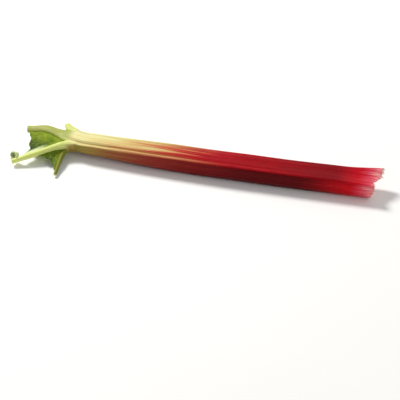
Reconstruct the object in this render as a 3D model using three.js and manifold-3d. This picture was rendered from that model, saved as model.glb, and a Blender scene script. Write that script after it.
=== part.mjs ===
// A rhubarb stalk, pulled from its crown and trimmed of its leaf, lying on its ribbed back.
// Millimetres, +Z up. The stalk runs along X: its torn foot is at +X and its forked leaf veins
// are at -X, and the flat face that lay towards the crown is up. While it is modelled, x = 0 is
// the fork of the veins; at the end everything moves so that the origin is under the middle.
import * as THREE from "three";
import { mergeVertices } from "three/addons/utils/BufferGeometryUtils.js";
import Module from "manifold-3d";

const wasm = await Module();
wasm.setup();
const { lerp, smoothstep, degToRad } = THREE.MathUtils;

// Driving dimensions of the stalk
const STALK_LENGTH = 291; // from the fork to the near side of the foot
const STALK_WIDTH = 27; // across the flat face at mid length
const STALK_DEPTH = 16.4; // from the widest level down to the back's lowest rib
const FACE_RISE = 4.8; // from the widest level up to the flat face
const PLAN_BOW = 3.5; // how far the middle bows towards -Y
const MIDRIB_LENGTH = 55;
const MIDRIB_ROOT = -4; // where the stalk gives way to its midrib
const RESTING_FLAT = 0.5; // how deep the back is pressed flat where it lies

// Section details
const FACE_POWER = 3.8; // superellipse powers: a flat face with round shoulders,
const BACK_POWER = 2.5; // and a back with steep sides
const BACK_RIBS = 7;
const RIB_RELIEF = 0.35;
const GROOVE_AT = 0.68; // of the half width, just inside each margin
const GROOVE_WIDTH = 1.5;
const FACE_STEPS = 20;
const BACK_STEPS = 28;
const SIDES = FACE_STEPS + BACK_STEPS;

// Foot: the far upper quarter tore off longer than the rest
const TEAR_STEP = 5;
const TEAR_ANGLE = degToRad(57);
const TEAR_AT = 1; // where the step lies, from the section's middle
const TEAR_BLEND = 3.2; // half the width of the step
const FOOT_HOLLOW = 4; // how far the middle of the torn end is drawn in
const FOOT_RAKE = 4.5; // how much shorter the back is than the face at the end
const FOOT_FLARE = 2.4; // how far the far margin turns up at the end

const GAP = 0.3; // between a scrap of leaf and the vein that it grew from
const BLADE_THICKNESS = 1;

// What varies along x, as [x, value] at the few places where it changes
const x3 = STALK_LENGTH;
const HALF_WIDTH = [[-MIDRIB_LENGTH, 4], [-26, 5.8], [MIDRIB_ROOT, 12.4], [90, STALK_WIDTH / 2],
  [x3 - 46, STALK_WIDTH / 2], [x3, 15]];
const RISE = [[-MIDRIB_LENGTH, 2], [-26, 3], [MIDRIB_ROOT, 4.3], [100, FACE_RISE]];
const DEPTH = [[-MIDRIB_LENGTH, 3.6], [-26, 6], [MIDRIB_ROOT, 9], [24, 11], [62, 14], [110, 16],
  [180, STALK_DEPTH], [x3 - 46, STALK_DEPTH], [x3, 14.6]];
const LIFT = [[MIDRIB_ROOT, 5.4], [24, 4], [62, 1.6], [110, 0.1], [130, 0], [x3 - 40, 0], [x3, 1]];
const MIDRIB_HEIGHT = [[-MIDRIB_LENGTH, 15], [-36, 15.6], [-14, 13.4], [MIDRIB_ROOT, 13.9]];
const SIDESTEP = [[-MIDRIB_LENGTH, 3.4], [-36, 7], [-14, 4], [10, 0]];
const CHANNEL = [[-12, -0.8], [60, -0.3], [150, 1], [x3 - 46, 1.4], [x3, 3.2]];
const GROOVE = [[-24, 0.2], [4, 2], [90, 1.5], [200, 0.6], [x3, 0.3]];

// The value at x of one of those lists, turning smoothly from each place to the next.
function keyed(list, x) {
  const next = list.findIndex(([at]) => at >= x);
  if (next < 0) return list[list.length - 1][1];
  if (next === 0) return list[0][1];
  const [[from, a], [to, b]] = [list[next - 1], list[next]];
  return lerp(a, b, smoothstep(x, from, to));
}

// The middle of the stalk's widest level at x.
function axis(x) {
  const share = (x - STALK_LENGTH / 2) / (STALK_LENGTH / 2);
  const y = PLAN_BOW * (share * share - 1) + keyed(SIDESTEP, x);
  const lying = keyed(DEPTH, x) - RESTING_FLAT + keyed(LIFT, x);
  return new THREE.Vector3(x, y, x < MIDRIB_ROOT ? keyed(MIDRIB_HEIGHT, x) : lying);
}

// The flat face from the far margin to the near one: a shallow channel between two grooves.
function facePoint(x, share) {
  const angle = Math.PI * share;
  const across = Math.sign(Math.cos(angle)) * Math.abs(Math.cos(angle)) ** (2 / FACE_POWER);
  const half = keyed(HALF_WIDTH, x);
  const rise = keyed(RISE, x) * Math.sin(angle) ** (2 / FACE_POWER);
  const hollow = keyed(CHANNEL, x) * Math.max(0, 1 - (across / 0.8) ** 2);
  const off = ((Math.abs(across) - GROOVE_AT) * half) / GROOVE_WIDTH;
  const groove = keyed(GROOVE, x) * Math.exp(-off * off);
  return new THREE.Vector3(0, across * half, rise - hollow - groove);
}

// The ribbed back from the near margin round to the far one.
function backPoint(x, share) {
  const angle = Math.PI * (1 + share);
  const swell = 1 + (RIB_RELIEF / STALK_DEPTH) * Math.cos(2 * Math.PI * BACK_RIBS * share)
    * Math.sin(Math.PI * share) ** 0.5;
  const across = Math.sign(Math.cos(angle)) * Math.abs(Math.cos(angle)) ** (2 / BACK_POWER);
  const down = Math.abs(Math.sin(angle)) ** (2 / BACK_POWER);
  return new THREE.Vector3(0, across * keyed(HALF_WIDTH, x) * swell, -down * keyed(DEPTH, x) * swell);
}

// n points spaced evenly along a half outline, without its last.
function spaced(pointAt, steps) {
  const dense = Array.from({ length: 161 }, (_, i) => pointAt(i / 160));
  const curve = new THREE.CatmullRomCurve3(dense);
  curve.arcLengthDivisions = 800;
  return curve.getSpacedPoints(steps).slice(0, steps);
}

function section(x) {
  return [
    ...spaced((s) => facePoint(x, s), FACE_STEPS),
    ...spaced((s) => backPoint(x, s), BACK_STEPS),
  ];
}

// A closed body from a lathe of unit radius: place(side, radius, station) says where each vertex goes.
function lathed(profile, sides, place) {
  const geometry = new THREE.LatheGeometry(profile, sides);
  const at = geometry.getAttribute("position");
  for (let side = 0; side <= sides; side++) {
    profile.forEach((p, j) => {
      const v = place(side % sides, p.x, p.y, j);
      at.setXYZ(side * profile.length + j, v.x, v.y, Math.max(v.z, 0));
    });
  }
  return welded(geometry);
}

function welded(geometry) {
  geometry.deleteAttribute("normal");
  geometry.deleteAttribute("uv");
  return mergeVertices(geometry, 1e-3);
}

function solid(geometry) {
  return new wasm.Manifold(new wasm.Mesh({
    numProp: 3,
    vertProperties: geometry.getAttribute("position").array,
    triVerts: new Uint32Array(geometry.index.array),
  }));
}

// Stations along the stalk: close together at the fork and the foot, wide apart between.
function stations() {
  const list = [];
  for (let x = -MIDRIB_LENGTH; x < -18; x += 5) list.push(x);
  for (let x = -18; x < 12; x += 3) list.push(x);
  for (let x = 12; x < x3 - 40; x += 9) list.push(x);
  for (let x = x3 - 40; x < x3; x += 4) list.push(x);
  return [...list, x3];
}

// How much further than its station a point of the stalk reaches near each end.
function stretch(x, across, up) {
  const towards = across * Math.cos(TEAR_ANGLE) + up * Math.sin(TEAR_ANGLE);
  const torn = TEAR_STEP * smoothstep(towards, TEAR_AT - TEAR_BLEND, TEAR_AT + TEAR_BLEND);
  const raked = FOOT_RAKE * smoothstep(-up, 0, STALK_DEPTH);
  const foot = smoothstep(x, x3 - 36, x3) * (torn - raked);
  const slant = smoothstep(-x, 12, MIDRIB_LENGTH) * -0.3 * across;
  return foot + slant;
}

// The stalk with its midrib, in one sweep. grow swells it, for cutting its clearance out of the leaf.
function stalkBody(grow) {
  const list = stations();
  const end = list.length - 1;
  const sections = list.map(section);
  const tipInset = [0, 0.4, 0.8];
  const footInset = [0.85, 0.6, 0.3, 0];
  const profile = [
    ...tipInset.map((r) => new THREE.Vector2(r, 0)),
    ...list.map((_, k) => new THREE.Vector2(1, k)),
    ...footInset.map((r) => new THREE.Vector2(r, end)),
  ];
  return lathed(profile, SIDES, (side, radius, k) => {
    const x = list[k];
    const p = sections[k][side];
    const swell = 1 + grow / Math.hypot(p.y, p.z);
    const across = p.y * radius * swell;
    const up = p.z * radius * swell;
    const drawnIn = k === end ? FOOT_HOLLOW * (1 - radius * radius) : 0;
    const at = axis(x);
    const outward = k === end ? grow : k === 0 ? -grow : 0;
    const flare = FOOT_FLARE * smoothstep(x, x3 - 30, x3) * smoothstep(across, 3, 14);
    return new THREE.Vector3(
      x + stretch(x, across, up) - drawnIn + outward, at.y + across, at.z + up + flare);
  });
}

// A side vein: it starts inside the stalk and tapers to a cut tip.
function veinBody({ route, widths, flatness }, grow) {
  const steps = 12;
  const sides = 14;
  const profile = [
    new THREE.Vector2(0, 0),
    ...Array.from({ length: steps + 1 }, (_, k) => new THREE.Vector2(1, k / steps)),
    new THREE.Vector2(0.5, 1),
    new THREE.Vector2(0, 1),
  ];
  const up = new THREE.Vector3(0, 0, 1);
  return lathed(profile, sides, (side, radius, t) => {
    const angle = (2 * Math.PI * side) / sides;
    const ahead = route.getTangentAt(t);
    const right = new THREE.Vector3().crossVectors(up, ahead).normalize();
    const above = new THREE.Vector3().crossVectors(ahead, right);
    const wide = keyed(widths, t) / 2 + grow;
    const high = (keyed(widths, t) * flatness) / 2 + grow;
    return route.getPointAt(t)
      .addScaledVector(right, radius * wide * Math.cos(angle))
      .addScaledVector(above, radius * high * Math.sin(angle))
      .addScaledVector(ahead, t === 1 ? grow : 0);
  });
}

const path = (...points) => new THREE.CatmullRomCurve3(points.map((p) => new THREE.Vector3(...p)));

// widths are a vein's, by share of its route; flatness is its height over its width
const NEAR_LATERAL = {
  route: path([20, -6.6, 11], [4, -7.4, 12.8], [-7, -9.2, 13.6], [-16, -14.8, 13], [-32, -26.6, 10.2],
    [-54, -39, 4.8]),
  widths: [[0, 5], [0.2, 7.6], [0.36, 8], [0.6, 5.8], [1, 5]],
  flatness: 0.96,
};
const NEAR_BASAL = {
  route: path([14, -5, 8], [4, -7, 9], [-5, -9.4, 9], [-9.2, -16, 8.2], [-8.6, -28, 6.2],
    [-6.7, -48, 2.6]),
  widths: [[0, 5], [0.25, 6.2], [0.5, 4.8], [1, 3.2]],
  flatness: 1,
};
const FAR_LATERAL = {
  route: path([8, 5, 12], [-3, 9, 13], [-11.5, 15, 13.8], [-19.5, 24, 14.4]),
  widths: [[0, 6], [0.45, 13], [1, 6.4]],
  flatness: 0.7,
};
const FAR_BASAL = {
  route: path([12, 4, 8], [3, 7, 8], [-3, 13, 7.6], [-6, 20, 6.8]),
  widths: [[0, 4.6], [0.4, 7], [1, 4.4]],
  flatness: 1,
};
const VEINS = [NEAR_LATERAL, NEAR_BASAL, FAR_LATERAL, FAR_BASAL];

// The stalk and every vein joined into the one piece that they grew as.
function stalkSolid(grow) {
  return VEINS.reduce((whole, vein) => whole.add(solid(veinBody(vein, grow))), solid(stalkBody(grow)));
}

// A scrap of leaf blade: a thin sheet over (a, b) from 0 to 1, cut back to stand clear of the veins.
function bladeSolid(surface, stepsA, stepsB, thickness, veins) {
  const geometry = new THREE.BoxGeometry(1, 1, 1, stepsA, stepsB, 1);
  const at = geometry.getAttribute("position");
  const step = 0.01;
  for (let i = 0; i < at.count; i++) {
    const [a, b, side] = [at.getX(i) + 0.5, at.getY(i) + 0.5, at.getZ(i)];
    const here = surface(a, b);
    const alongA = surface(a + step, b).sub(surface(a - step, b));
    const alongB = surface(a, b + step).sub(surface(a, b - step));
    const normal = alongA.cross(alongB).normalize();
    here.addScaledVector(normal, side * thickness);
    at.setXYZ(i, here.x, here.y, Math.max(here.z, 0));
  }
  const sheet = solid(welded(geometry)).subtract(veins);
  const pieces = sheet.decompose().sort((p, q) => q.volume() - p.volume());
  return pieces[0];
}

// A web between two edges: it sags between them and reaches out further where rim says so.
function web(edgeA, edgeB, sag, rim) {
  return (a, b) => {
    const out = Math.max(a, 0) * rim(b);
    const p = edgeA(out).lerp(edgeB(out), b);
    p.z -= sag * 4 * b * (1 - b) * Math.min(1, out);
    return p;
  };
}

// A point along the midrib's side, out from the fork, where side is -1 for the near edge.
function midribEdge(out, side) {
  const x = lerp(6, -MIDRIB_LENGTH, out);
  const p = axis(x);
  p.y += side * keyed(HALF_WIDTH, x) * 0.7;
  p.z += keyed(RISE, x) * 0.35;
  return p;
}

// A point along a vein, from share to share of its length, raised above its middle.
function veinEdge({ route }, from, to, out, raise) {
  const p = route.getPointAt(Math.min(1, lerp(from, to, out)));
  p.z += raise;
  return p;
}

const nearWeb = web(
  (out) => midribEdge(Math.min(out, 1) * 0.94, -1),
  (out) => veinEdge(NEAR_LATERAL, 0.3, 0.8, out, lerp(2.6, 1, Math.min(out, 1))),
  3.2,
  (b) => 1 + 0.14 * smoothstep(b, 0.7, 0.86) + 0.03 * Math.sin(17 * b),
);
const lowWeb = web(
  (out) => veinEdge(NEAR_LATERAL, 0.3, 0.74, out, -0.4),
  (out) => veinEdge(NEAR_BASAL, 0.3, 0.97, out, 0.2),
  1.2,
  (b) => 1 - 0.24 * Math.sin(Math.PI * b) + 0.25 * smoothstep(-b, -0.12, 0) + 0.03 * Math.sin(23 * b),
);

// A rolled scrap beside the near lateral's tip: a sheet wound nearly twice round, into a short tube.
const ROLL_RADIUS = 4.3;
const ROLL_INNER_RADIUS = 2.2;
const ROLL_LENGTH = 6.5;
const ROLL_TURN = degToRad(630);
const ROLL_THICKNESS = 0.7;
const ROLL_PLACE = new THREE.Vector3(1, 6.4, 3.8); // from the vein's tip
const ROLL_AXIS = new THREE.Vector3(-0.3, -0.85, 0.42).normalize();
function rolledScrap(a, b) {
  const sideways = new THREE.Vector3(0, 0, 1).cross(ROLL_AXIS).normalize();
  const upwards = new THREE.Vector3().crossVectors(ROLL_AXIS, sideways);
  const angle = degToRad(-120) + ROLL_TURN * a;
  const radius = lerp(ROLL_RADIUS, ROLL_INNER_RADIUS, a) * lerp(0.8, 1, b);
  return NEAR_LATERAL.route.getPointAt(1)
    .add(ROLL_PLACE)
    .addScaledVector(ROLL_AXIS, ROLL_LENGTH * (b - 0.5) * (1 - 0.3 * a))
    .addScaledVector(sideways, radius * Math.cos(angle))
    .addScaledVector(upwards, radius * Math.sin(angle));
}

const MATERIALS = {
  stalk: new THREE.MeshStandardMaterial({ color: 0xa81a2b, roughness: 0.35, metalness: 0 }),
  blade: new THREE.MeshStandardMaterial({ color: 0x5f8a24, roughness: 0.6, metalness: 0 }),
};

function meshOf(name, body, material) {
  const made = body.getMesh();
  const geometry = new THREE.BufferGeometry();
  geometry.setAttribute("position", new THREE.BufferAttribute(made.vertProperties, 3));
  geometry.setIndex(new THREE.BufferAttribute(made.triVerts, 1));
  geometry.computeVertexNormals();
  const mesh = new THREE.Mesh(geometry, material);
  mesh.name = name;
  return mesh;
}

const clearance = stalkSolid(GAP);
const scrap = (surface, stepsA, stepsB, thickness = BLADE_THICKNESS) =>
  bladeSolid(surface, stepsA, stepsB, thickness, clearance);

const rhubarb = new THREE.Group();
rhubarb.add(
  meshOf("stalk", stalkSolid(0), MATERIALS.stalk),
  meshOf("leaf_scrap_upper", scrap(nearWeb, 12, 12), MATERIALS.blade),
  meshOf("leaf_scrap_lower", scrap(lowWeb, 12, 12), MATERIALS.blade),
  meshOf("leaf_scrap_rolled", scrap(rolledScrap, 42, 4, ROLL_THICKNESS), MATERIALS.blade),
);

// The origin goes under the middle of the whole, on the surface that it lies on.
const bounds = new THREE.Box3().setFromObject(rhubarb);
const middle = bounds.getCenter(new THREE.Vector3());
middle.z = bounds.min.z;
rhubarb.children.forEach((mesh) => mesh.position.sub(middle));

export default rhubarb;
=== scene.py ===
"""A trimmed rhubarb stalk lying on a pale table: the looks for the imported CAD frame.

The stalk and the scraps of leaf are finely remeshed copies of their CAD nodes. Ribs, crinkles
and torn ends are moved into the mesh. Each vertex keeps where it lies along and across its
strand, which is the stalk itself or one of its veins, so that the materials can run their
streaks the way the plant grew.
"""

import math
from functools import partial, reduce

import bmesh
import bpy
import numpy as np
from mathutils import Matrix, Vector, noise
from mathutils.bvhtree import BVHTree


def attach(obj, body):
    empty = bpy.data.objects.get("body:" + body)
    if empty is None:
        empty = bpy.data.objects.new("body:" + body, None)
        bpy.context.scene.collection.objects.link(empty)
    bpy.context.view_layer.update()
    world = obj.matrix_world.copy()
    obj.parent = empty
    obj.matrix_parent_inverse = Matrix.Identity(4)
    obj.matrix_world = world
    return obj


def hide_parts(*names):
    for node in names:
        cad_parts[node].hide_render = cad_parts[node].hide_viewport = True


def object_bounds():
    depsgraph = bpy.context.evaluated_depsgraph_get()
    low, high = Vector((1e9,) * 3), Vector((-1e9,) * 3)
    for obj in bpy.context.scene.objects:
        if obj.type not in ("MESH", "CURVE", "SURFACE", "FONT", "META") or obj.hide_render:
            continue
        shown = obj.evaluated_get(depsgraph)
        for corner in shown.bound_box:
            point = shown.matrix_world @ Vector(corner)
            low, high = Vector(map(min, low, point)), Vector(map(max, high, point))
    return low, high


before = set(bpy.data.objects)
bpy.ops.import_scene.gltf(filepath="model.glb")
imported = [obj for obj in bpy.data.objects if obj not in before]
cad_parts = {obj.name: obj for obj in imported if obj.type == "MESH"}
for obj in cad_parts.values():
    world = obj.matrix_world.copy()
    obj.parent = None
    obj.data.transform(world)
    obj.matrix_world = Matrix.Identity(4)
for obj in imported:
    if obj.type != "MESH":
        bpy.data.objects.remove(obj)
cad_low, cad_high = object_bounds()

MM = 0.001

# The stalk's own measures, as in its CAD source
FORK = Vector((cad_low.x + 57.27 * MM, cad_low.y + 48.31 * MM, 0))
LENGTH = 291 * MM  # from the fork to the near side of the foot
BOW = 3.5 * MM  # how far the middle bows towards -Y
HALF_WIDE, DEEP = 13.5 * MM, 16 * MM  # what its half width and its depth mostly are
ROLL_AXIS = np.array([-0.3, -0.85, 0.42])  # from the roll's far end to its near, open one

# What varies along the stalk, as (mm from the fork, mm)
HALF_WIDTH = [(-55, 4), (-26, 5.8), (-4, 12.4), (90, 13.5), (245, 13.5), (291, 15)]
RISE = [(-55, 2), (-26, 3), (-4, 4.3), (100, 4.8)]  # from the widest level up to the face
DEPTH = [(-55, 3.6), (-26, 6), (-4, 9), (24, 11), (62, 14), (110, 16), (245, 16.4), (291, 14.6)]
LEVEL = [(-55, 15), (-36, 15.6), (-14, 13.4), (-4, 13.9), (24, 14.5), (62, 15.1), (110, 15.6),
         (180, 15.9), (291, 15.1)]  # height of the widest level
SIDESTEP = [(-55, 3.4), (-36, 7), (-14, 4), (10, 0)]  # of the midrib, towards +Y

# Routes of the side veins from inside the stalk to their cut tips, in mm from the fork,
# with each vein's radius at its root and tip
VEINS = [
    ([(20, -6.6, 11), (4, -7.4, 12.8), (-7, -9.2, 13.6), (-16, -14.8, 13), (-32, -26.6, 10.2),
      (-54, -39, 4.8)], 4.1, 2.5),
    ([(14, -5, 8), (4, -7, 9), (-5, -9.4, 9), (-9.2, -16, 8.2), (-8.6, -28, 6.2),
      (-6.7, -48, 2.6)], 3.3, 1.6),
    ([(8, 5, 12), (-3, 9, 13), (-11.5, 15, 13.8), (-19.5, 24, 14.4)], 5.5, 2.9),
    ([(12, 4, 8), (3, 7, 8), (-3, 13, 7.6), (-6, 20, 6.8)], 3.4, 2.2),
]

# Camera: the direction from the object back to it, and how far the object sits above the
# middle of the picture and to its left, which tilts and turns the camera a little
CAMERA_AZIMUTH = math.radians(14.5)
CAMERA_ELEVATION = math.radians(33)
CAMERA_DISTANCE = 1.0
CAMERA_LENS = 94.7
AIM = Vector((121 * MM, -4 * MM, 15.5 * MM))  # from the fork
ABOVE_MIDDLE = 40 * MM
LEFT_OF_MIDDLE = 3.2 * MM

ROOM_STRENGTH = 0.42

# Sizes of the remeshed cells, and how much longer than wide they are along the stalk
STALK_CELL = 0.48 * MM
STALK_CELL_STRETCH = 1.5
LEAF_CELL = 0.34 * MM

# Ribs all the way round a strand, how high they stand in mm, and how much lower on the flat face
BACK_RIBS, BACK_RIB_HEIGHT, BACK_RIB_LOSS = 30, 0.34, 0.2
FINE_RIBS, FINE_RIB_HEIGHT, FINE_RIB_LOSS = 74, 0.1, 0.06
VEIN_RIBS, VEIN_RIB_HEIGHT = 12, 0.22
UNEVENNESS = 0.35  # of the whole surface, in mm
TORN_RELIEF = 1.3  # of the torn foot, in mm

# Where skin gives way to flesh: at the torn foot and at the midrib's stub, from the fork,
# and at the tips of the side veins, as a share of their routes
FOOT_ENDS = (LENGTH - 14 * MM, LENGTH - 6 * MM)
STUB_ENDS = (-50 * MM, -52 * MM)
TIPS_END = (0.93, 0.97)

# Lines along the flat face, for the painted groove shade and crest highlight: how far out they are
# and how wide, as shares of its half width
GROOVE = (0.66, 0.07)
CREST = (0.85, 0.1)

# How much lighter each strand's green is: the stalk's, then each vein's; the near basal vein's low
# value is painted shade
STRAND_PALENESS_AND_PAINTED_SHADE = [0.46, 1, 0.05, 0.85, 0.3]
STRAND_SHIFT = 40 * MM  # between the grains of two strands, so that their streaks differ
FAR = 9.0  # further from a vein, in radii, than any that matters

# Fibres round the torn rim of the foot, measured in mm, and their curl as a share of length
FIBRES = 34
FIBRE_SEED = 7
FIBRE_LENGTH = (0.8, 2.6)
FIBRE_WIDTH = (0.8, 2.2)
FIBRE_CURL = (-0.6, 0.8)
FIBRE_ROOT = 0.8 * MM  # how far back inside the flesh a fibre starts

BLADE_REACH = (1.6 * MM, 0.4 * MM)  # from a vein, where a blade starts to bend to it and is on it
BLADE_SUNK = 0.5 * MM  # how far a blade's edge goes into its vein
ROLL_DRAWN_IN = 0.85  # the share of its radius that the roll's inner wall loses at the far end
ROLL_NARROWS = (1 * MM, -2.2 * MM)  # along its axis from its middle


def link(obj):
    bpy.context.scene.collection.objects.link(obj)


def make_camera():
    """A camera on its line out from the aim, tilted and turned a little off it."""
    a, e = CAMERA_AZIMUTH, CAMERA_ELEVATION
    away = Vector((math.sin(a) * math.cos(e), -math.cos(a) * math.cos(e), math.sin(e)))
    right = Vector((math.cos(a), math.sin(a), 0))
    place = FORK + AIM + CAMERA_DISTANCE * away
    middle = FORK + AIM - ABOVE_MIDDLE * away.cross(right) + LEFT_OF_MIDDLE * right
    back = (place - middle).normalized()
    up = back.cross(right).normalized()
    data = bpy.data.cameras.new("camera")
    data.lens = CAMERA_LENS
    data.clip_end = 20
    camera = bpy.data.objects.new("camera", data)
    camera.matrix_world = Matrix.Translation(place) @ Matrix(
        (up.cross(back), up, back)
    ).transposed().to_4x4()
    link(camera)
    bpy.context.scene.camera = camera


def area_light(name, place, target, size, energy, color=(1, 1, 1)):
    data = bpy.data.lights.new(name, "AREA")
    data.shape = "DISK"
    data.size = size
    data.energy = energy
    data.color = color
    light = bpy.data.objects.new(name, data)
    light.location = place
    light.rotation_euler = (Vector(target) - Vector(place)).to_track_quat("-Z", "Y").to_euler()
    link(light)


def light_the_table():
    area_light("key", place=(-1.0, 0.62, 1.3), target=(-0.02, 0, 0), size=0.55, energy=29,
               color=(1.0, 0.98, 0.95))
    area_light("fill", place=(0.9, -0.7, 0.7), target=(0.16, 0, 0), size=0.6, energy=2.5)
    world = bpy.data.worlds.new("room")
    world.use_nodes = True
    background = world.node_tree.nodes["Background"]
    background.inputs["Color"].default_value = (1, 1, 1, 1)
    background.inputs["Strength"].default_value = ROOM_STRENGTH
    bpy.context.scene.world = world
    bpy.context.scene.view_settings.view_transform = "Standard"


# ---------------------------------------------------------------- meshes


def smoothstep(low, high, value):
    """0 up to low, 1 from high on, and a smooth run between; low may be the greater."""
    t = np.clip((value - low) / (high - low), 0, 1)
    return t * t * (3 - 2 * t)


def points_of(mesh):
    co = np.empty(len(mesh.vertices) * 3)
    mesh.vertices.foreach_get("co", co)
    return co.reshape(-1, 3)


def normals_of(mesh):
    n = np.empty(len(mesh.vertices) * 3)
    mesh.vertex_normals.foreach_get("vector", n)
    return n.reshape(-1, 3)


def move_points(mesh, co):
    """Moves a mesh's vertices, none of them below the table."""
    co[:, 2] = np.maximum(co[:, 2], 0)
    mesh.vertices.foreach_set("co", co.ravel())
    mesh.update()


def store(mesh, name, values):
    """Keeps a number or a vector for each vertex, for the material to read."""
    values = np.asarray(values, float)
    kind, key = ("FLOAT", "value") if values.ndim == 1 else ("FLOAT_VECTOR", "vector")
    mesh.attributes.new(name, kind, "POINT").data.foreach_set(key, values.ravel())


def wander(places, scale, seed):
    """Smooth noise from -1 to 1 at places given in metres; scale is the size of its features."""
    shift = Vector((seed, 2.7 * seed, -seed))
    return np.array([noise.noise(Vector(p) + shift) for p in places / np.asarray(scale)])


def evaluated_mesh(obj):
    """Applies an object's modifiers and gives back its new mesh."""
    mesh = bpy.data.meshes.new_from_object(
        obj.evaluated_get(bpy.context.evaluated_depsgraph_get())
    )
    obj.modifiers.clear()
    obj.data = mesh
    return mesh


def new_piece(name, mesh, material):
    piece = bpy.data.objects.new(name, mesh)
    link(piece)
    mesh.materials.clear()
    mesh.materials.append(material)
    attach(piece, "root")
    return piece


def dense_copy(node, name, material, voxel, stretch=1.0):
    """A finely remeshed copy of a CAD node that stands for it. stretch makes cells longer in X."""
    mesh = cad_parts[node].data.copy()
    work = bmesh.new()
    work.from_mesh(mesh)
    bmesh.ops.remove_doubles(work, verts=work.verts, dist=1e-6)
    work.to_mesh(mesh)
    work.free()
    mesh.transform(Matrix.Diagonal((1 / stretch, 1, 1, 1)))
    piece = new_piece(name, mesh, material)
    remesh = piece.modifiers.new("dense", "REMESH")
    remesh.mode = "VOXEL"
    remesh.voxel_size = voxel
    mesh = evaluated_mesh(piece)
    mesh.transform(Matrix.Diagonal((stretch, 1, 1, 1)))
    mesh.materials.clear()
    mesh.materials.append(material)
    mesh.shade_smooth()
    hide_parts(node)
    return piece


def relax(piece, rounds, weights=None):
    """Smooths a piece's mesh, where the weights say if they are given."""
    smooth = piece.modifiers.new("relax", "SMOOTH")
    smooth.iterations = rounds
    if weights is not None:
        group = piece.vertex_groups.new(name="relax")
        for step in range(1, 11):  # in tenths
            chosen = np.flatnonzero(np.round(weights * 10) == step)
            group.add(chosen.tolist(), step / 10, "REPLACE")
        smooth.vertex_group = group.name
    evaluated_mesh(piece)
    piece.vertex_groups.clear()


# ---------------------------------------------------------------- the stalk's strands


def sampled_route(route, count=60):
    """Points evenly by parameter on a Catmull-Rom curve through the route, in metres."""
    p = np.array([2 * np.array(route[0]) - route[1], *route, 2 * np.array(route[-1]) - route[-2]])
    points = []
    for t in np.linspace(0, len(route) - 1 - 1e-6, count):
        i, f = int(t) + 1, t % 1
        a, b, c, d = p[i - 1], p[i], p[i + 1], p[i + 2]
        points.append(
            b + 0.5 * f * (c - a + f * (2 * a - 5 * b + 4 * c - d + f * (3 * (b - c) + d - a)))
        )
    return np.array(points) * MM + np.array(FORK)


def nearest_on_route(co, points, root, tip):
    """Share of the route, place along, across and above it, distance over radius, and direction."""
    best = np.argmin(
        np.stack([np.linalg.norm(co - p, axis=1) for p in points], axis=1), axis=1
    )
    ahead = np.gradient(points, axis=0)
    ahead /= np.linalg.norm(ahead, axis=1, keepdims=True)
    right = np.cross(ahead, (0, 0, 1))
    right /= np.linalg.norm(right, axis=1, keepdims=True)
    above = np.cross(right, ahead)
    run = np.concatenate([[0], np.cumsum(np.linalg.norm(np.diff(points, axis=0), axis=1))])
    off = co - points[best]
    local = [np.sum(off * axis[best], axis=1) for axis in (ahead, right, above)]
    share = best / (len(points) - 1)
    radius = (root + (tip - root) * share) * MM
    away = np.linalg.norm(off, axis=1)
    place = np.stack([run[best] + local[0], local[1], local[2]], axis=1)
    return share, place, away / radius, ahead[best]


def measured(places, along):
    """One of the lists of what varies along the stalk, in metres at places along it."""
    at, values = zip(*places)
    return np.interp(along / MM, at, values) * MM


def stalk_frame(co):
    """Place on the stalk, as if it were the same size all along, its reach and its angle."""
    along = co[:, 0] - FORK.x
    share = along / (LENGTH / 2) - 1
    across = co[:, 1] - FORK.y - BOW * (share**2 - 1) - measured(SIDESTEP, along)
    above = co[:, 2] - measured(LEVEL, along)
    high = np.where(above > 0, measured(RISE, along), measured(DEPTH, along))
    u, v = across / measured(HALF_WIDTH, along), above / high
    place = np.stack([along, HALF_WIDE * u, DEEP * v], axis=1)
    return place, np.hypot(u, v), np.arctan2(v, u)


def strand_of(co):
    """For each vertex: its strand (0 is the stalk, 1 to 4 its veins), its place on it, its angle
    round it, its share of the route, the route's direction, and how far it belongs to a vein.
    """
    local, reach, angle = stalk_frame(co)
    strand = np.zeros(len(co), int)
    share = np.zeros(len(co))
    apart = np.full(len(co), FAR)
    ahead = np.tile([-1.0, 0, 0], (len(co), 1))
    for i, (route, root, tip) in enumerate(VEINS, 1):
        at, place, distance, to = nearest_on_route(co, sampled_route(route), root, tip)
        nearer = distance < np.minimum(reach, apart)
        strand[nearer] = i
        share[nearer] = at[nearer]
        local[nearer] = place[nearer] + np.array([0, STRAND_SHIFT * i, 0])
        angle[nearer] = np.arctan2(place[nearer, 2], place[nearer, 1])
        ahead[nearer] = to[nearer]
        apart = np.minimum(apart, distance)
    vein = smoothstep(0.85, 1.5, np.minimum(reach, 3) / np.minimum(apart, 3))
    return strand, local, angle, share, ahead, vein


def ridges(angle, count):
    """Rounded ribs with narrow valleys between them, from 0 in a valley to 1 on a crest."""
    return np.abs(np.sin(angle * count / 2))


def lines(across, at, width):
    """1 on the two lines at a share of the half width, fading out on either side of each."""
    return np.exp(-(((np.abs(across) - at) / width) ** 2))


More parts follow.
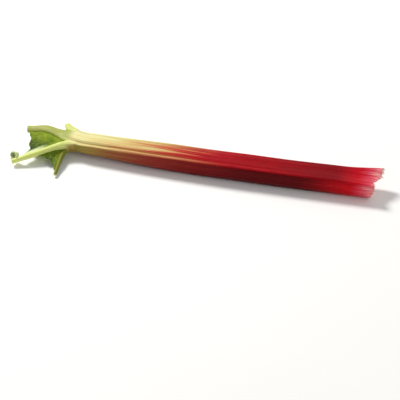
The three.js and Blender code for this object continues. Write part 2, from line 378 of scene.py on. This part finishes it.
def make_stalk(material):
    """The stalk with its side veins, each ribbed along its length, torn at the foot and cut at
    the tips.
    """
    stalk = dense_copy("stalk", "stalk_visual", material, STALK_CELL,
                       STALK_CELL_STRETCH)
    along = points_of(stalk.data)[:, 0] - FORK.x
    relax(stalk, 4)
    relax(stalk, 16, smoothstep(26 * MM, 8 * MM, np.abs(along + 2 * MM)))  # round the fork

    mesh = stalk.data
    co = points_of(mesh)
    normal = normals_of(mesh)
    strand, local, angle, share, ahead, vein = strand_of(co)
    along = co[:, 0] - FORK.x
    on_stalk = strand == 0

    # Torn and cut faces are those that look along their strand
    torn = smoothstep(*FOOT_ENDS, along) * smoothstep(0.45, 0.75, normal[:, 0])
    at_tip = np.where(on_stalk, smoothstep(*STUB_ENDS, along), smoothstep(*TIPS_END, share))
    cut = at_tip * smoothstep(0.5, 0.8, np.sum(normal * ahead, axis=1))
    flesh = np.clip(torn + cut, 0, 1)

    face = smoothstep(0.25, 0.75, normal[:, 2])  # 1 on the flat face, 0 on sides and back
    local[:, 2] *= np.where(on_stalk, 1 - face, 1)  # so that streaks on the face run straight
    grain = local * np.array([1 / 12, 1, 1])
    back_ribs = ridges(angle, BACK_RIBS) * (0.7 + 0.6 * wander(grain, 4 * MM, seed=3))
    fine_ribs = ridges(angle + 0.04 * wander(grain, 6 * MM, seed=5), FINE_RIBS)
    vein_ribs = ridges(angle, VEIN_RIBS)
    on_stalk_relief = (BACK_RIB_HEIGHT - BACK_RIB_LOSS * face) * back_ribs
    on_stalk_relief += (FINE_RIB_HEIGHT - FINE_RIB_LOSS * face) * fine_ribs
    relief = np.where(on_stalk, on_stalk_relief, VEIN_RIB_HEIGHT * vein_ribs)
    relief += UNEVENNESS * wander(co, (45 * MM, 16 * MM, 16 * MM), seed=9)
    fibres = wander(co, (9 * MM, 1.1 * MM, 1.1 * MM), seed=2)
    fibres += 0.5 * wander(co, 2.4 * MM, seed=4)
    co += normal * (relief * (1 - flesh) * (1 - 0.5 * vein) * MM)[:, None]
    co[:, 0] += torn * fibres * TORN_RELIEF * MM
    move_points(mesh, co)

    across = local[:, 1] / HALF_WIDE
    on_top = face * on_stalk
    grooved = smoothstep(-14 * MM, 6 * MM, along) * smoothstep(150 * MM, 70 * MM, along)
    # Where the material paints groove shade and a crest highlight on the flat face
    store(mesh, "groove", on_top * grooved * lines(across, *GROOVE))
    store(mesh, "crest", on_top * lines(across, *CREST))
    store(mesh, "across", np.where(on_stalk, np.clip(across, -1, 1), 0))
    store(mesh, "grain", local / MM)
    store(mesh, "along", np.where(on_stalk, along, -local[:, 0]) / LENGTH)
    store(mesh, "face", face)
    store(mesh, "vein", np.maximum(vein, smoothstep(-2 * MM, -12 * MM, along)))
    store(mesh, "pale", np.array(STRAND_PALENESS_AND_PAINTED_SHADE)[strand])
    store(mesh, "flesh", flesh)
    # How deep in a valley between ribs each vertex lies; the material paints shade there
    store(mesh, "valley", np.where(on_stalk, 1 - back_ribs, 1 - vein_ribs))
    return stalk


def make_torn_fibres(stalk, material):
    """Slivers of skin and flesh that stand out from the foot's torn rim."""
    co, normal = points_of(stalk.data), normals_of(stalk.data)
    flesh = np.empty(len(co), np.float32)
    stalk.data.attributes["flesh"].data.foreach_get("value", flesh)
    at_foot = co[:, 0] > FORK.x + LENGTH - 12 * MM
    rim = np.flatnonzero((flesh > 0.25) & (flesh < 0.75) & at_foot)
    rng = np.random.default_rng(FIBRE_SEED)
    work = bmesh.new()
    for i in rng.choice(rim, FIBRES, replace=False):
        length, width = rng.uniform(*FIBRE_LENGTH) * MM, rng.uniform(*FIBRE_WIDTH) * MM
        out = Vector(normal[i])
        ahead = (Vector((1, 0, 0)) + 0.35 * Vector(rng.normal(size=3))).normalized()
        side = ahead.cross(out).normalized()
        curl = rng.uniform(*FIBRE_CURL)
        rows = []
        for t in np.linspace(0, 1, 6):
            middle = Vector(co[i]) - FIBRE_ROOT * ahead - 0.5 * MM * out
            middle += ahead * (length + FIBRE_ROOT) * t + out * curl * length * 0.5 * t * t
            half = width * (1 - 0.7 * t * t) / 2
            thick = 0.2 * MM * (1 - 0.7 * t)
            corners = [side * half, out * thick, -side * half, -out * thick]
            rows.append([work.verts.new(middle + c) for c in corners])
        for low, high in zip(rows, rows[1:]):
            for k in range(4):
                work.faces.new((low[k], low[k - 3], high[k - 3], high[k]))
        work.faces.new(rows[0][::-1])
        work.faces.new(rows[-1])
    bmesh.ops.recalc_face_normals(work, faces=work.faces)
    mesh = bpy.data.meshes.new("torn_fibres")
    work.to_mesh(mesh)
    work.free()
    mesh.shade_smooth()
    new_piece("torn_fibres", mesh, material)


def rolled_tighter(co, normal):
    """The roll with its inner wall drawn in at the far end, and how far each vertex is on it."""
    opening = ROLL_AXIS / np.linalg.norm(ROLL_AXIS)
    middle = (co.min(axis=0) + co.max(axis=0)) / 2
    forward = (co - middle) @ opening
    outwards = co - middle - forward[:, None] * opening
    tighter = ROLL_DRAWN_IN * smoothstep(*ROLL_NARROWS, forward)
    distance = np.maximum(np.linalg.norm(outwards, axis=1), 1e-6)
    inside = smoothstep(0.3, -0.5, np.sum(outwards * normal, axis=1) / distance)
    return co - (inside * tighter)[:, None] * outwards, inside


def make_leaf(node, name, material, crinkle, shade, pale=0.0, margin=0.0, thinned=0.2,
              rolled=False):
    """A scrap of blade: thinned, crinkled, and grown back onto the vein that it hangs from.

    crinkle and thinned are in mm, and thinned is off each side. shade is how much painted shade
    darkens the scrap beside the midrib, pale how bleached all of it is, and margin how much
    painted light pales it along the outer half of the near side vein.
    """
    leaf = dense_copy(node, name, material, LEAF_CELL)
    relax(leaf, 3)
    mesh = leaf.data
    co = points_of(mesh)
    normal = normals_of(mesh)
    co -= normal * thinned * MM
    bulge = wander(co, (5 * MM, 5 * MM, 40 * MM), seed=6)
    bulge += 0.5 * wander(co, (2.2 * MM, 2.2 * MM, 40 * MM), seed=8)
    co[:, 2] += crinkle * bulge * MM
    if rolled:
        co, inside = rolled_tighter(co, normal)
        # The roll's inner turns are less pale, as painted shade inside the roll
        pale = pale * (1 - 0.4 * inside)

    # Close the gap that the CAD keeps between the blade and the vein
    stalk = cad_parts["stalk"].data
    tree = BVHTree.FromPolygons(
        [v.co for v in stalk.vertices], [tuple(p.vertices) for p in stalk.polygons]
    )
    hits = [tree.find_nearest(Vector(p)) for p in co]
    nearest = np.array([hit[0] for hit in hits])
    gap = np.array([hit[3] for hit in hits])
    towards = (nearest - co) / np.maximum(gap, 1e-6)[:, None]
    co += towards * (smoothstep(*BLADE_REACH, gap) * (gap + BLADE_SUNK))[:, None]
    move_points(mesh, co)

    store(mesh, "vein", smoothstep(8 * MM, 0, gap))
    # Painted shade: the scrap's own amount beside the midrib, growing to full further away from it
    from_midrib = FORK.y - co[:, 1] - 0.1 * (co[:, 0] - FORK.x)
    store(mesh, "shade", shade + (1 - shade) * smoothstep(2 * MM, 20 * MM, from_midrib))
    # Painted light along the outer half of the near side vein, laid over the bleaching
    route, root, tip = VEINS[0]
    share, _, apart, _ = nearest_on_route(co, sampled_route(route), root, tip)
    beside = smoothstep(3.8, 2.2, apart) * smoothstep(0.66, 0.8, share)
    store(mesh, "pale", np.maximum(pale, margin * beside))


# ---------------------------------------------------------------- materials


def linear(red, green, blue):
    """An sRGB colour from 0 to 255, as the shader's linear RGBA."""
    def channel(c):
        c /= 255
        return c / 12.92 if c <= 0.04045 else ((c + 0.055) / 1.055) ** 2.4
    return (channel(red), channel(green), channel(blue), 1)


class Shader:
    """A material under construction: each call adds one node and gives back its output."""

    def __init__(self, name, **principled):
        self.material = bpy.data.materials.new(name)
        self.material.use_nodes = True
        self.tree = self.material.node_tree
        self.surface = self.tree.nodes["Principled BSDF"]
        for socket, value in principled.items():
            self.surface.inputs[socket.replace("_", " ")].default_value = value

    def add(self, kind, inputs, output=0, **settings):
        """A node with its settings made and each input linked to a socket or set to a value."""
        node = self.tree.nodes.new(kind)
        for key, value in settings.items():
            setattr(node, key, value)
        for key, value in inputs.items():
            if isinstance(value, bpy.types.NodeSocket):
                self.tree.links.new(value, node.inputs[key])
            else:
                node.inputs[key].default_value = value
        return node.outputs[output]

    def attribute(self, name, output="Fac"):
        return self.add("ShaderNodeAttribute", {}, output, attribute_name=name)

    def math(self, operation, a, b=0.0):
        return self.add("ShaderNodeMath", {0: a, 1: b}, operation=operation)

    def plus(self, *values):
        return reduce(partial(self.math, "ADD"), values)

    def times(self, *values):
        return reduce(partial(self.math, "MULTIPLY"), values)

    def between(self, value, low, high):
        """Runs smoothly from 0 to 1 as the value goes from low to high."""
        inputs = {"Value": value, "From Min": low, "From Max": high}
        return self.add("ShaderNodeMapRange", inputs, interpolation_type="SMOOTHSTEP")

    def graded(self, value, to_low, to_high, low=0.0, high=1.0):
        """Runs evenly from to_low to to_high as the value goes from low to high."""
        inputs = {"Value": value, "From Min": low, "From Max": high,
                  "To Min": to_low, "To Max": to_high}
        return self.add("ShaderNodeMapRange", inputs)

    def centred(self, value, amount):
        """Noise from 0 to 1 brought to either side of 0 and scaled."""
        return self.add(
            "ShaderNodeMath", {0: value, 1: amount, 2: -amount / 2}, operation="MULTIPLY_ADD"
        )

    def ramp(self, value, stops):
        """A colour that runs through (place, red, green, blue) stops."""
        ramp = self.add("ShaderNodeValToRGB", {0: value})
        elements = ramp.node.color_ramp.elements
        while len(elements) < len(stops):
            elements.new(1)
        for element, (place, *color) in zip(elements, stops):
            element.position = place
            element.color = linear(*color)
        return ramp

    def mix(self, share, a, b):
        """Colour a where the share is 0 and b where it is 1."""
        return self.add("ShaderNodeMix", {0: share, 6: a, 7: b}, 2, data_type="RGBA")

    def over(self, base, color, *shares):
        """A colour laid over a base, as strongly as the shares multiply to."""
        return self.mix(self.times(*shares), base, color)

    def scaled(self, vector, scale):
        inputs = {0: vector, 1: scale}
        return self.add("ShaderNodeVectorMath", inputs, operation="MULTIPLY")

    def noise(self, vector, scale, detail=3):
        inputs = {"Vector": vector, "Scale": scale, "Detail": detail}
        return self.add("ShaderNodeTexNoise", inputs, "Fac")

    def cells(self, vector, scale, feature="F1"):
        """Distance from the middle of the nearest cell, or with DISTANCE_TO_EDGE from its edge."""
        inputs = {"Vector": vector, "Scale": scale}
        return self.add("ShaderNodeTexVoronoi", inputs, "Distance", feature=feature)

    def bump(self, height, distance, strength=1.0):
        inputs = {"Height": height, "Distance": distance, "Strength": strength}
        return self.add("ShaderNodeBump", inputs, "Normal")

    def finish(self, **inputs):
        for socket, value in inputs.items():
            self.tree.links.new(value, self.surface.inputs[socket.replace("_", " ")])
        return self.material


def stalk_skin():
    s = Shader("stalk_skin", IOR=1.4, Specular_IOR_Level=0.16, Coat_Weight=0.03,
               Coat_Roughness=0.12, Subsurface_Weight=0.03, Subsurface_Scale=0.002,
               Subsurface_Radius=(1, 0.35, 0.2))
    grain = s.attribute("grain", "Vector")
    along, across, face, vein = map(s.attribute, ("along", "across", "face", "vein"))
    valley, flesh, groove, crest = map(s.attribute, ("valley", "flesh", "groove", "crest"))

    # Long streaks that follow the strands
    broad = s.noise(s.scaled(grain, (0.012, 0.3, 0.3)), 1, 2)
    streak = s.noise(s.scaled(grain, (0.02, 0.95, 0.95)), 1)
    hair = s.noise(s.scaled(grain, (0.05, 3.2, 3.2)), 1, 2)
    blotch = s.noise(s.scaled(grain, (0.1, 0.2, 0.2)), 1)
    ragged = s.plus(s.centred(broad, 0.3), s.centred(streak, 0.9), s.centred(hair, 0.25))

    # The skin ripens from yellow-green through tan to red away from the fork: on the near
    # half of the flat face sooner than on the far half, and last on a tongue down its middle
    ripening = s.graded(along, 0.0, 1.0, low=0.02, high=0.62)
    sooner = s.graded(across, -0.07, 0.21, low=0.9, high=-0.7)
    off_tongue = s.math("ABSOLUTE", s.plus(across, 0.22))
    tapering = s.graded(along, 0.2, 0.0, low=0.24, high=0.45)
    tongue = s.times(s.math("LESS_THAN", off_tongue, tapering), s.between(along, 0.1, 0.3))
    on_top = s.math("SUBTRACT", s.plus(s.plus(ripening, ragged), sooner), s.times(tongue, 0.28))
    on_face = s.ramp(on_top, [(0, 240, 238, 180), (0.2, 229, 219, 146), (0.4, 215, 168, 107),
                              (0.58, 198, 88, 62), (0.76, 178, 22, 34), (1, 160, 9, 22)])

    # The rounded sides are darker, partly their own deeper red and partly painted shade; they are
    # more evenly streaked, and redder underneath
    beneath = s.between(s.math("ABSOLUTE", across), 1.0, 0.5)
    lower = s.plus(ripening, s.times(ragged, 0.55), s.times(beneath, 0.14))
    side_with_painted_shade = s.ramp(lower, [(0, 164, 148, 68), (0.15, 154, 106, 58), (0.35, 148, 56, 42),
                             (0.6, 130, 30, 28), (0.85, 100, 12, 17), (1, 88, 8, 13)])
    skin = s.mix(face, side_with_painted_shade, on_face)

    # Edges of the face get a painted highlight, and a groove runs inside each, darkened with
    # painted shade
    ruddy = s.between(along, 0.3, 0.54)
    painted_crest_highlight = s.mix(ruddy, linear(232, 222, 146), linear(200, 40, 50))
    painted_groove_shade = s.mix(ruddy, linear(140, 112, 50), linear(108, 8, 20))
    skin = s.over(skin, painted_crest_highlight, crest, 0.4)
    skin = s.over(skin, painted_groove_shade, groove, 0.75)

    # Bright hairs, partly the skin's own streaks and partly painted highlight, and dull blotches in
    # the red, which is deepest before the foot
    skin = s.over(skin, linear(196, 30, 40), s.between(hair, 0.52, 0.8), ruddy, 0.3)
    skin = s.over(skin, linear(96, 6, 16), s.between(blotch, 0.5, 0.75), ruddy, 0.4)
    skin = s.over(skin, linear(118, 7, 18), s.between(along, 0.6, 0.86), face, 0.65)

    # The veins stay green, the near basal one darker as painted shade
    light_green = s.ramp(hair, [(0.25, 208, 221, 106), (0.7, 232, 239, 156)])
    dark_green = s.ramp(hair, [(0.25, 98, 104, 28), (0.7, 128, 136, 44)])
    skin = s.mix(vein, skin, s.mix(s.attribute("pale"), dark_green, light_green))
    # Painted shade in the valleys between the ribs
    skin = s.over(skin, linear(60, 10, 8), valley, 0.22)

    # The foot turns a clearer red, on its sides partly as painted light, then blanches to pink
    off_face = s.between(face, 1, 0)
    near_foot = s.plus(along, s.centred(streak, 0.1), s.times(off_face, 0.025))
    skin = s.over(skin, linear(212, 14, 28), s.between(near_foot, 0.78, 1.0), off_face,
                  s.between(hair, 0.1, 0.6))
    skin = s.over(skin, linear(200, 18, 34), face, 0.8, s.between(near_foot, 0.86, 0.96))
    skin = s.over(skin, linear(224, 86, 108), s.between(near_foot, 0.945, 1.0), 0.8)
    skin = s.over(skin, linear(242, 188, 178), s.between(near_foot, 0.985, 1.0),
                  s.between(hair, 0.42, 0.7))

    speck = s.between(s.cells(s.scaled(grain, (0.5, 1, 1)), 0.55), 0.1, 0.05)
    skin = s.over(skin, linear(235, 180, 160), speck, s.between(blotch, 0.45, 0.65), 0.4)

    # Torn and cut flesh is pinkish white at the foot and pale green at the veins' tips
    pith = s.ramp(s.noise(grain, 0.9), [(0.35, 243, 192, 186), (0.65, 250, 232, 214)])
    skin = s.mix(flesh, skin, s.mix(vein, pith, linear(222, 228, 170)))

    rough = s.graded(flesh, s.graded(hair, 0.28, 0.46), 0.6)
    height = s.plus(s.times(hair, 0.6), s.times(streak, 0.5))
    highlight = s.mix(0.15, skin, (1, 1, 1, 1))
    return s.finish(Base_Color=skin, Specular_Tint=highlight, Roughness=rough,
                    Normal=s.bump(height, 0.25 * MM, 0.7))


def torn_flesh():
    s = Shader("torn_flesh", Roughness=0.5, Subsurface_Weight=0.2, Subsurface_Scale=0.001)
    place = s.add("ShaderNodeTexCoord", {}, "Object")
    shade = s.noise(place, 900)
    tint = s.mix(s.between(shade, 0.35, 0.65), linear(250, 228, 216), linear(236, 142, 152))
    return s.finish(Base_Color=tint, Normal=s.bump(shade, 0.1 * MM))


def leaf_blade():
    s = Shader("leaf_blade", Specular_IOR_Level=0.08, Subsurface_Weight=0.08,
               Subsurface_Scale=0.001, Subsurface_Radius=(0.5, 1, 0.2))
    place = s.add("ShaderNodeTexCoord", {}, "Object")
    cloud = s.noise(place, 120)

    # A fine and a coarse net of veinlets, bent so that their cells aren't straight-sided
    wavy = s.add("ShaderNodeTexNoise", {"Vector": place, "Scale": 260}, "Color")
    bent = s.add("ShaderNodeVectorMath", {0: place, 1: s.scaled(wavy, (0.004, 0.004, 0.004))},
                 operation="ADD")
    net = s.cells(bent, 420, "DISTANCE_TO_EDGE")
    coarse_net = s.cells(bent, 130, "DISTANCE_TO_EDGE")

    # Each vertex keeps how much painted shade darkens its green and how pale it is, from bleaching
    # and painted light; the veinlets are paler than it
    light = s.ramp(cloud, [(0.3, 108, 132, 18), (0.65, 138, 158, 26)])
    dark = s.ramp(cloud, [(0.3, 34, 52, 8), (0.65, 60, 82, 16)])
    green = s.mix(s.attribute("shade"), light, dark)
    green = s.over(green, linear(128, 156, 50), s.between(net, 0.1, 0.0), 0.25)
    green = s.over(green, linear(140, 166, 60), s.between(coarse_net, 0.07, 0.0), 0.4)
    green = s.over(green, linear(142, 162, 40), s.attribute("vein"), 0.5)
    green = s.mix(s.attribute("pale"), green, linear(222, 232, 180))

    height = s.plus(s.between(net, 0.0, 0.3), s.between(coarse_net, 0.0, 0.25))
    rough = s.graded(cloud, 0.4, 0.6)
    return s.finish(Base_Color=green, Roughness=rough, Normal=s.bump(height, 0.3 * MM))


def pale_floor():
    s = Shader("pale_floor", Roughness=0.8)
    place = s.add("ShaderNodeTexCoord", {}, "Object")
    mottle = s.noise(place, 6)
    tint = s.mix(mottle, linear(246, 246, 245), linear(250, 250, 249))
    return s.finish(Base_Color=tint)


def make_floor():
    mesh = bpy.data.meshes.new("floor")
    far = 6  # metres from the middle to each side
    corners = [(-far, -far, 0), (far, -far, 0), (far, far, 0), (-far, far, 0)]
    mesh.from_pydata(corners, [], [(0, 1, 2, 3)])
    mesh.materials.append(pale_floor())
    floor = bpy.data.objects.new("floor", mesh)
    link(floor)


make_camera()
light_the_table()
make_floor()
stalk = make_stalk(stalk_skin())
make_torn_fibres(stalk, torn_flesh())
blade = leaf_blade()
# The lower scrap is darkened with painted shade, and the upper one gets painted light beside the
# near side vein
make_leaf("leaf_scrap_upper", "leaf_upper_visual", blade, crinkle=0.45, shade=0.0, margin=0.9)
make_leaf("leaf_scrap_lower", "leaf_lower_visual", blade, crinkle=0.45, shade=0.9)
make_leaf("leaf_scrap_rolled", "leaf_rolled_visual", blade, crinkle=0.1, shade=0.2, pale=1.0,
          thinned=0.05, rolled=True)
